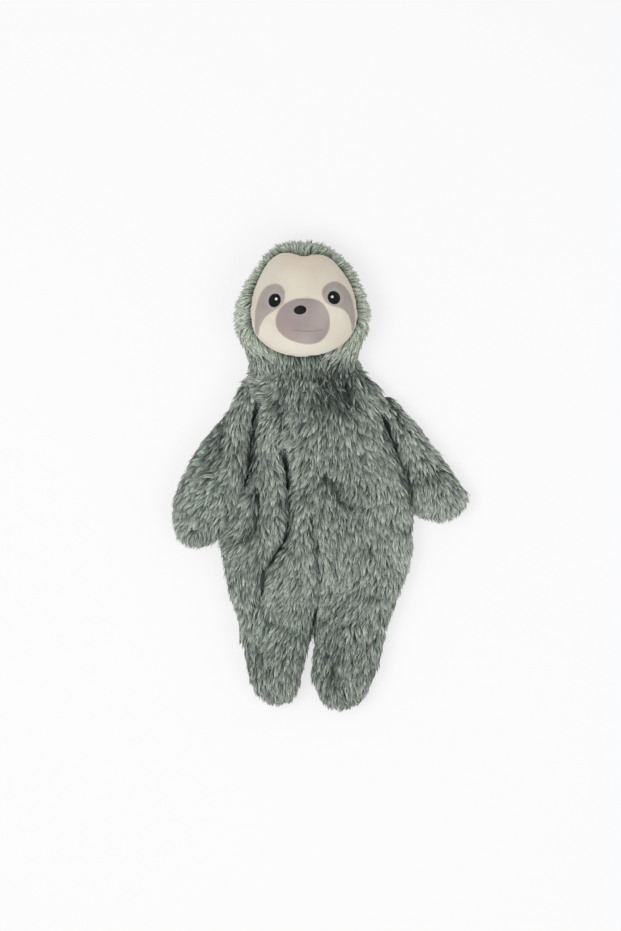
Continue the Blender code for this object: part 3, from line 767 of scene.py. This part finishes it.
def combedAt(roots, hints):
    # which way the pile lies and how bright it is, from the nearest places read in the photograph
    places = np.array([atPixel(x, y)[:2] for x, y, *rest in hints])
    ways = np.array([(right, -down, 0) for x, y, right, down, bright in hints])
    bright = np.array([bright for *rest, bright in hints])
    squared = ((roots[:, None, :2] - places) ** 2).sum(-1)
    weight = (squared + strands["combReach"] ** 2) ** -2.0
    weight /= weight.sum(1, keepdims=True)
    return unit(weight @ ways), weight @ bright


def stopAtFolds(roots, way, length, folds, upper):
    # strands end at the lip of a fold instead of bridging it, and stay short inside it
    free = np.ones(len(roots))
    for crease in folds:
        if not crease["gap"]:
            continue
        for share in foldLip["tried"]:
            away, along = distanceTo(roots + way * (length * share)[:, None], crease["line"])
            middle = (along > foldLip["ends"]) & (along < 1 - foldLip["ends"])
            crossed = (away < crease["gap"]) & middle & upper
            free = np.where(crossed, np.minimum(free, share - foldLip["back"]), free)
    return length * np.maximum(free, foldLip["least"])


def trimTips(paths, clear, slack):
    # strands that reach too far are shortened bit by bit, each with a slack of its own
    left = np.arange(len(paths))
    for _ in range(strands["trims"]):
        back = unit(paths[left, 0] - paths[left, -1]) * slack[left, None]
        left = left[~clear(paths[left, -1] + back)]
        roots = paths[left, :1]
        paths[left] = roots + (paths[left] - roots) * strands["trimShare"]


def gatherLocks(paths, lock, locks, amount):
    # strands of a lock draw together towards their tips
    sizes = np.maximum(np.bincount(lock, minlength=locks), 1)[:, None]
    last = paths.shape[1] - 1
    for ring in range(1, last + 1):
        middle = np.stack([np.bincount(lock, paths[:, ring, i], locks) for i in range(3)], 1)
        middle /= sizes
        pull = amount * (ring / last) ** strands["gatherPower"]
        paths[:, ring] += (middle[lock] - paths[:, ring]) * pull


def growPile(name, skin, form, others, paint, part):
    seed = form["seed"]
    dice = np.random.default_rng(seed + part["seed"])
    roots, normals = rootsOn(skin, part, others, dice)
    count = len(roots)
    locks = max(1, count // part["lock"])
    tree = KDTree(locks)
    for i, pick in enumerate(dice.permutation(count)[:locks]):
        tree.insert(roots[pick], i)
    tree.balance()
    lock = np.array([tree.find(root)[1] for root in roots])

    def strayed(shared, own):
        return dice.normal(0, shared, locks)[lock] + dice.normal(0, own, count)

    def varied(base, shared, limits, own):
        base = base * dice.normal(1, shared, locks).clip(*limits)[lock]
        return base * dice.uniform(*own, count)

    def swirled(key, offset):
        amount, size = strands[key]
        return amount * swirl(roots, size, seed + offset)

    # which way each strand lies: combed, sloping off the form, sagging, and never into the cloth
    lie, bright = combedAt(roots, form["combed"])
    upper = roots[:, 2] > strands["foldsAbove"]
    inCrease = np.zeros(count)
    for crease in form["folds"]:
        share = foldShare(roots, crease) * upper
        # painted shade: strands along a crease are darkened, and painted light: on a ridge they are
        # lightened
        bright -= crease["dark"] * share
        inCrease = np.maximum(inCrease, share if crease["depth"] > 0 else 0)
    slope = normals.copy()
    slope[:, 2] = 0
    lie = lie + slope * (form["slope"] * (1 - inCrease))[:, None] + np.array([0, 0, -form["sag"]])
    outward = (lie * normals).sum(1, keepdims=True)
    lie = unit(lie - normals * np.where(outward > 0, (1 - form["stand"]) * outward, outward))
    side = np.cross(lie, normals)
    turn = swirled("wideSwirl", 0) + swirled("fineSwirl", 1)
    turn += strayed(*strands["turn"])
    for place, size, amount in form["ruffled"]:
        near = np.exp(-((roots[:, :2] - atPixel(*place)[:2]) ** 2).sum(1) / size**2)
        turn += amount * near * dice.normal(0, 1, locks)[lock]
    way = lie * np.cos(turn)[:, None] + side * np.sin(turn)[:, None]
    across = np.cross(way, normals)

    length = varied(part["length"], *strands["length"])
    length = stopAtFolds(roots, way, length, form["folds"], upper)
    lift = varied(1, *strands["lift"])
    paths = [roots - normals * strands["rooted"] * mm]
    bend = strayed(*strands["bend"])
    for angle, share in zip(part["lifts"], strands["bendAlong"]):
        reach = unit(way + across * (bend * share)[:, None])
        rise = np.sin(angle * lift)[:, None]
        flat = np.sqrt(1 - np.minimum(rise, strands["steepest"]) ** 2)
        step = reach * flat + normals * rise
        paths.append(paths[-1] + step * (length / len(part["lifts"]))[:, None])
    paths = np.stack(paths, 1)
    shared, own, inset = strands["slack"]
    slack = (shared * dice.random(locks)[lock] ** 2 + own * dice.random(count) - inset) * mm
    trimTips(paths, part["clear"], slack)
    gatherLocks(paths, lock, locks, part["gather"])
    radii = part["radius"] * dice.uniform(*strands["radius"], count)[:, None]
    radii = radii * np.array(part["taper"])[None]
    paths[..., 2] = np.maximum(paths[..., 2], part["floor"] + radii)
    shared, own = strands["tone"]
    tones = 0.5 + bright + dice.normal(0, own, count) + dice.normal(0, shared, locks)[lock]
    tones = (tones + swirled("toneSwirl", 2)).clip(0.0, 1.0)

    pieces = []
    groups = math.ceil(count / part["most"])
    for i, chosen in enumerate(np.array_split(np.argsort(roots[:, 1]), groups)):
        title = name if groups == 1 else name + "_" + str(i + 1)
        pieces.append(layStrands(title, part["shape"], paths[chosen], across[chosen],
                                 radii[chosen], strands["flatness"], tones[chosen], paint))
    print("pile", name, count, "strands in", groups)
    return pieces


faceVelour = {
    "outline": [
        (304, 256), (296, 254), (288, 252), (279, 253.5), (271, 259), (265, 266), (260, 276),
        (255, 287), (252, 298), (250.5, 312), (252, 326), (257, 337), (266, 346), (279, 353),
        (294, 356.5), (309, 356.5), (324, 354), (338, 348), (349, 339), (355, 329), (357.5, 318),
        (356.5, 303), (353, 289), (346, 276), (338, 265.5), (329, 257), (320, 254), (312, 254.3),
    ],
    "voxel": 1.6 * mm, "lift": 0.2 * mm, "thickness": 2.6 * mm, "rim": 6 * mm, "edge": 0.35,
}
patchVelour = {
    "voxel": 1.1 * mm, "lift": -0.1 * mm, "thickness": 0.95 * mm, "rim": 2.4 * mm, "edge": 0.44,
}
muzzlePatch = {
    **patchVelour,
    "outline": [
        (307, 298), (294, 299.5), (283, 305), (277, 313), (275, 322), (277.5, 331), (286, 339),
        (299, 344), (311, 345), (321, 342), (328.5, 333), (330.5, 322), (328, 311), (320, 301.5),
    ],
}
rightEyePatch = {
    **patchVelour,
    "outline": [
        (276, 283.5), (282, 286), (285.5, 292), (285, 301), (280, 308.5), (271, 314),
        (264.5, 320), (260.5, 328), (258.5, 336), (255, 333), (254, 323), (255, 309), (259, 296),
        (264, 288), (270, 284.5),
    ],
}
leftEyePatch = {
    **patchVelour,
    "outline": [
        (335, 281), (327.5, 283.5), (322, 289), (321.5, 296), (325.5, 303.5), (333, 307.5),
        (341, 309.5), (347, 315), (350, 323), (351, 331), (352.5, 334), (354.3, 331),
        (355.5, 325), (356, 318), (355, 309), (352, 297), (347, 288), (341, 283),
    ],
}
# the hood's pile grows a little over the velour's edge
opening = {"step": 3 * mm, "overlap": 1.6 * mm}
faceLoop = outlineOf(faceVelour, opening["step"])
hoodOpening = shrinkLoop(faceLoop, opening["overlap"])
# long pile gives way to short between these slopes
turnedUnder = (-0.35, -0.15)


def facingUp(points, normals):
    return stepUp(normals[:, 2], *turnedUnder)


def facingDown(points, normals):
    return 1 - facingUp(points, normals)


def outsideFace(points, normals):
    # no pile under the velour, but for its rim
    return facingUp(points, normals) * ~(insideLoop(points, hoodOpening) & (normals[:, 2] > 0))


def offFace(points):
    return withinToy(points) & ~insideLoop(points, hoodOpening)


upperPile = {
    "seed": 1, "density": 1.06e6, "keep": facingUp, "clear": withinToy, "lock": 5,
    "length": 16 * mm, "lifts": (0.50, 0.24, 0.02), "gather": 0.80, "radius": 0.435 * mm,
    "taper": (0.9, 1.0, 0.78, 0.0), "floor": 0.3 * mm, "most": 12400,
    "shape": strandShape(3, 4, True),
}
hoodPile = {**upperPile, "keep": outsideFace, "clear": offFace, "length": 12 * mm}
underPile = {
    "seed": 2, "density": 0.38e6, "keep": facingDown, "clear": withinToy, "lock": 7,
    "length": 9.0 * mm, "lifts": (0.35, 0.02), "gather": 0.5, "radius": 0.58 * mm,
    "taper": (1.0, 0.85, 0.0), "floor": 0.25 * mm, "most": 19900,
    "shape": strandShape(3, 3, True),
}

# how pieces lie on the head: it is probed from above and to each side, they are lifted more
# where it is steep, and what overflows their outline sinks in
laying = {
    "above": 0.2, "middle": 0.04, "aside": 3 * mm, "steepest": 2.2, "overflow": 0.4 * mm,
    "sinking": 1.5, "loopStep": 1.5,
}


def headHeight(tree, x, y):
    found = tree.ray_cast(Vector((x, y, laying["above"])), -upwards)[0]
    return found.z if found else tree.find_nearest(Vector((x, y, laying["middle"])))[0].z


def onHead(tree, place, lift):
    x, y, aside = place.x, place.y, laying["aside"]
    across = (headHeight(tree, x + aside, y) - headHeight(tree, x - aside, y)) / (2 * aside)
    along = (headHeight(tree, x, y + aside) - headHeight(tree, x, y - aside)) / (2 * aside)
    steep = min(math.sqrt(1 + across**2 + along**2), laying["steepest"])
    return Vector((x, y, headHeight(tree, x, y) + lift * steep))


def thicknessAt(points, loop, settings):
    # (thickness, share of the rim's width): thinner towards the edge
    away = distanceTo(points, loop, True)[0] * np.where(insideLoop(points, loop), 1, -1)
    rim = np.clip(away / settings["rim"], 0, 1)
    edge = settings["edge"]
    thickness = settings["thickness"] * (edge + (1 - edge) * np.sqrt(1 - (1 - rim) ** 2))
    return thickness + laying["sinking"] * np.minimum(away + laying["overflow"], 0), rim


def laidOnHead(name, settings, tree):
    # a sheet laid over the head or over the face's velour, its edge turned down
    loop = outlineOf(settings, settings["voxel"] * laying["loopStep"])
    obj, points, level = flatPad(name, loop, settings["voxel"])
    thickness, rim = thicknessAt(points, loop, settings)
    raised = settings["lift"] + thickness * level
    if settings is not faceVelour:
        raised += thicknessAt(points, faceLoop, faceVelour)[0]
    for i, point in enumerate(points):
        points[i] = onHead(tree, Vector(point), raised[i])
    movePoints(obj.data, points)
    obj.data.attributes.new("rimDistance", "FLOAT", "POINT").data.foreach_set("value", rim)
    mesh = rounded(obj)
    mesh.shade_smooth()
    print("face piece", name, len(mesh.polygons))
    return obj


rightEye = {"middle": (274.7, 300.9), "width": 11.6 * mm, "length": 13.2 * mm, "lean": -22}
leftEye = {"middle": (333.9, 298.1), "width": 11.8 * mm, "length": 12.8 * mm, "lean": 28}
noseStitch = {"middle": (300.2, 310.6), "width": 11.9 * mm, "length": 8.4 * mm, "lean": 8}
highlight = {"width": 2.5 * mm, "length": 2.5 * mm, "raised": 0.75 * mm}
rightHighlight = {**highlight, "middle": (276.3, 299.5), "lean": -22}
leftHighlight = {**highlight, "middle": (332.2, 297.3), "lean": 28}
satin = {
    "pitch": 0.42 * mm, "lift": 3.6 * mm, "height": 1.0 * mm, "rings": 9, "sides": 6,
    "radius": 0.62, "ends": 0.6, "flatness": 0.9, "tones": (0.2, 0.8),
}
mouth = {
    "line": [(293, 330.5), (300, 331.6), (308, 332), (316, 331.4), (323, 330.2)],
    "stitch": 2.4 * mm, "gap": 0.35 * mm, "radius": 0.38 * mm, "lift": 3.7 * mm, "sides": 6,
    "covered": 0.88, "dip": 0.35 * mm, "taper": [0.5, 0.85, 1, 1, 1, 0.85, 0.5], "flatness": 0.8,
}


def satinOval(name, settings, tree, paint):
    # threads laid side by side across an oval, highest in its middle
    lean = math.radians(settings["lean"])
    lengthways = Vector((math.sin(-lean), math.cos(lean), 0))
    across = Vector((lengthways.y, -lengthways.x, 0))
    rows = round(settings["length"] / satin["pitch"])
    middle = atPixel(*settings["middle"])
    lift = satin["lift"] + settings.get("raised", 0)
    paths = []
    for row in range(rows):
        y = (row + 0.5) / rows * 2 - 1
        half = settings["width"] / 2 * math.sqrt(1 - y * y)
        path = []
        for ring in range(satin["rings"]):
            x = math.sin((ring / (satin["rings"] - 1) - 0.5) * math.pi)
            place = middle + lengthways * (y * settings["length"] / 2) + across * (x * half)
            crown = max(0, 1 - (x * half * 2 / settings["width"]) ** 2 - y * y)
            path.append(onHead(tree, place, lift + satin["height"] * crown ** 0.5))
        paths.append(path)
    paths = np.array(paths)
    radii = np.full(paths.shape[:2], satin["pitch"] * satin["radius"])
    radii[:, [0, -1]] *= satin["ends"]
    flat = np.tile(np.array(lengthways), (rows, 1))
    tones = np.random.default_rng(rows).uniform(*satin["tones"], rows)
    shape = strandShape(satin["sides"], satin["rings"], False)
    return layStrands(name, shape, paths, flat, radii, satin["flatness"], tones, paint)


def mouthStitch(name, tree, paint):
    # a row of short stitches, their ends pulled into the velour
    line = atPixels(mouth["line"])
    length = sum((b - a).length for a, b in zip(line, line[1:]))
    count = round(length / (mouth["stitch"] + mouth["gap"]))
    rings = len(mouth["taper"])
    paths = []
    for i in range(count):
        path = []
        for ring in range(rings):
            start = i + (1 - mouth["covered"]) / 2
            at = (start + mouth["covered"] * ring / (rings - 1)) / count * (len(line) - 1)
            knot = min(int(at), len(line) - 2)
            place = line[knot].lerp(line[knot + 1], at - knot)
            dip = mouth["dip"] * abs(ring * 2 / (rings - 1) - 1) ** 2
            path.append(onHead(tree, place, mouth["lift"] - dip))
        paths.append(path)
    radii = mouth["radius"] * np.array(mouth["taper"])[None].repeat(count, 0)
    flat = np.tile([0.0, 1.0, 0.0], (count, 1))
    shape = strandShape(mouth["sides"], rings, False)
    tones = np.full(count, 0.5)
    return layStrands(name, shape, np.array(paths), flat, radii, mouth["flatness"], tones, paint)


def addCamera():
    data = bpy.data.cameras.new("photoCamera")
    data.sensor_fit = "VERTICAL"
    data.sensor_height = view["sensor"]
    data.lens = view["sensor"] * view["distance"] / (photo["height"] * photo["pixel"])
    camera = bpy.data.objects.new("photoCamera", data)
    height = view["distance"] + view["aimHeight"]
    camera.location = atPixel(photo["width"] / 2, photo["height"] / 2, height)
    bpy.context.scene.collection.objects.link(camera)
    bpy.context.scene.camera = camera


paleFloor = {"size": 6, "grey": 0.85, "roughness": 0.9, "glow": 0.7}


def addFloor():
    # pale with a soft shadow, and whiter to the camera and in reflections
    shape = bmesh.new()
    bmesh.ops.create_grid(shape, x_segments=1, y_segments=1, size=paleFloor["size"])
    floor = link("floor", meshFrom(shape, "floor"))
    paint = Paint("paleFloor")
    paint.finish((*(paleFloor["grey"],) * 3, 1), {"Roughness": paleFloor["roughness"]})
    rays = [paint.node("ShaderNodeLightPath", {}, {}, "Is " + kind + " Ray")
            for kind in ("Camera", "Glossy", "Transmission")]
    share = rays[0].maths("MAXIMUM", rays[0], rays[1])
    share = share.maths("MAXIMUM", share, rays[2]) * paleFloor["glow"]
    glow = paint.node("ShaderNodeEmission", {}, {"Color": (1, 1, 1, 1), "Strength": 1.0})
    lit = Socket(paint, paint.shader.outputs[0])
    both = paint.node("ShaderNodeMixShader", {}, {0: share, 1: lit, 2: glow})
    paint.feed(paint.tree.nodes["Material Output"].inputs["Surface"], both)
    floor.data.materials.append(paint.material)


lamps = {
    "key": {"place": (-0.6, -0.1, 1.8), "size": 1.0, "power": 15.0},
    "fill": {"place": (0.9, -0.7, 1.8), "size": 1.6, "power": 9.0},
}
worldLight = 0.55


def addLight():
    # an even world that the camera sees as white, and two soft lamps
    world = bpy.data.worlds.new("studio")
    bpy.context.scene.world = world
    world.use_nodes = True
    nodes = world.node_tree.nodes
    links = world.node_tree.links
    path = nodes.new("ShaderNodeLightPath")
    plain = nodes["Background"]
    plain.inputs["Color"].default_value = (1, 1, 1, 1)
    plain.inputs["Strength"].default_value = worldLight
    white = nodes.new("ShaderNodeBackground")
    white.inputs["Strength"].default_value = 1.0
    pick = nodes.new("ShaderNodeMixShader")
    links.new(path.outputs["Is Camera Ray"], pick.inputs[0])
    links.new(plain.outputs[0], pick.inputs[1])
    links.new(white.outputs[0], pick.inputs[2])
    links.new(pick.outputs[0], nodes["World Output"].inputs["Surface"])
    for name, lamp in lamps.items():
        data = bpy.data.lights.new(name, "AREA")
        data.shape = "DISK"
        data.size = lamp["size"]
        data.energy = lamp["power"]
        light = bpy.data.objects.new(name, data)
        light.location = lamp["place"]
        light.rotation_euler = (-Vector(lamp["place"])).to_track_quat("-Z", "Y").to_euler()
        bpy.context.scene.collection.objects.link(light)


bpy.context.scene.view_settings.view_transform = "Standard"
addCamera()
addFloor()
addLight()
print("camera, floor and light are set")


def acrossHinge(piece, body):
    # the hinge's side that faces the limb is found, and the piece's placing is baked into its mesh
    joint = hinges[body]
    middle = Vector(joint["pos_m"])
    out = Vector(joint["axis"]).normalized().cross(upwards)
    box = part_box(body + "_filling")
    if out.dot((box[0] + box[1]) / 2 - middle) < 0:
        out = -out
    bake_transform(piece)


def clothName(body):
    return "hood" if body == "head" else body


backingCloth = backingPaint()
bodyPaint = pilePaint("frostedPile", pile["body"])
hoodLitPaint = pilePaint("hoodPile", pile["hood"])
skins = {body: stuffedSkin(clothName(body) + "_skin", form) for body, form in forms.items()}
trees = {body: skinTree(skin) for body, skin in skins.items()}
print("skins stuffed")

for body, form in forms.items():
    skin = skins[body]
    title = clothName(body)
    skin.data.materials.append(backingCloth)
    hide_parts(title + "_front_panel", title + "_back_panel", body + "_filling")
    hiding = [trees[other] for other in form["hiddenBy"]]
    paint, top = (hoodLitPaint, hoodPile) if body == "head" else (bodyPaint, upperPile)
    furred = growPile(title + "_pile", skin, form, hiding, paint, top)
    furred += growPile(title + "_under_pile", skin, form, hiding, paint, underPile)
    for piece in (skin, *furred):
        if body == "torso":
            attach(piece, "torso")
        else:
            acrossHinge(piece, body)
print("pile grown")

creamTones = (srgb(214, 203, 184), srgb(221, 212, 196), srgb(228, 221, 206))
# painted shade and light: the spots darken the forehead and lighten the chin and the lower left
# cheek
faceLightAndShadeSpots = [
    ((302, 260), 3 * mm, 24 * mm, 0.75, srgb(221, 205, 183)),
    ((302, 351), 4 * mm, 34 * mm, 0.8, srgb(232, 228, 213)),
    ((260, 334), 4 * mm, 16 * mm, 0.6, srgb(230, 224, 212)),
    ((302, 286), 4 * mm, 16 * mm, 0.5, srgb(228, 219, 200)),
]
eyeTones = ((152, 142, 136), (162, 152, 145), (172, 163, 156))
eyeRing = (6.5 * mm, 10.5 * mm, 0.75, srgb(180, 175, 173))
eyeRim = srgb(210, 202, 189)
muzzleRim = srgb(206, 197, 184)
muzzleTones = (srgb(152, 140, 136), srgb(164, 151, 148), srgb(174, 163, 159))
muzzleSpots = [
    ((305, 298), 5 * mm, 17 * mm, 0.7, srgb(153, 144, 134)),
    ((284, 323), 2 * mm, 13 * mm, 0.6, srgb(160, 141, 142)),
    ((305, 342), 3 * mm, 15 * mm, 0.7, srgb(180, 169, 167)),
    ((300, 312), 5 * mm, 12 * mm, 0.4, srgb(166, 158, 158)),
]


def eyePaint(name, eye, paler):
    tones = [srgb(*(level + paler for level in tone)) for tone in eyeTones]
    return velourPaint(name, tones, [(eye["middle"], *eyeRing)], eyeRim)


creamVelour = velourPaint("creamVelour", creamTones, faceLightAndShadeSpots)
rightEyeVelour = eyePaint("rightEyeVelour", rightEye, 7)
leftEyeVelour = eyePaint("leftEyeVelour", leftEye, 0)
muzzleVelour = velourPaint("muzzleVelour", muzzleTones, muzzleSpots, muzzleRim)
blackSatin = threadPaint("blackSatin", srgb(3, 3, 4), srgb(17, 16, 18), 0.45)
whiteThread = threadPaint("whiteThread", srgb(225, 225, 222), srgb(245, 245, 242), 0.5)
taupeThread = threadPaint("taupeThread", srgb(140, 129, 126), srgb(156, 145, 141), 0.7)

headTree = trees["head"]


def sewOnHead(piece, node):
    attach(piece, "head")
    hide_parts(node)


for name, settings, paint, slot, node in (
    ("face_velour", faceVelour, creamVelour, "cream_velour", "face_panel"),
    ("muzzle_velour", muzzlePatch, muzzleVelour, "taupe_velour", "muzzle_patch"),
    ("right_eye_velour", rightEyePatch, rightEyeVelour, "taupe_velour", "right_eye_patch"),
    ("left_eye_velour", leftEyePatch, leftEyeVelour, "taupe_velour", "left_eye_patch"),
):
    piece = laidOnHead(name, settings, headTree)
    piece.data.materials.append(paint)
    sewOnHead(piece, node)

for name, settings, paint, slot, node in (
    ("right_eye_satin", rightEye, blackSatin, "black_satin_stitch", "right_eye"),
    ("left_eye_satin", leftEye, blackSatin, "black_satin_stitch", "left_eye"),
    ("nose_satin", noseStitch, blackSatin, "black_satin_stitch", "nose"),
    ("right_highlight_satin", rightHighlight, whiteThread, "white_thread", "right_eye_highlight"),
    ("left_highlight_satin", leftHighlight, whiteThread, "white_thread", "left_eye_highlight"),
):
    sewOnHead(satinOval(name, settings, headTree, paint), node)
sewOnHead(mouthStitch("mouth_thread", headTree, taupeThread), "mouth_stitch")
print("face made")
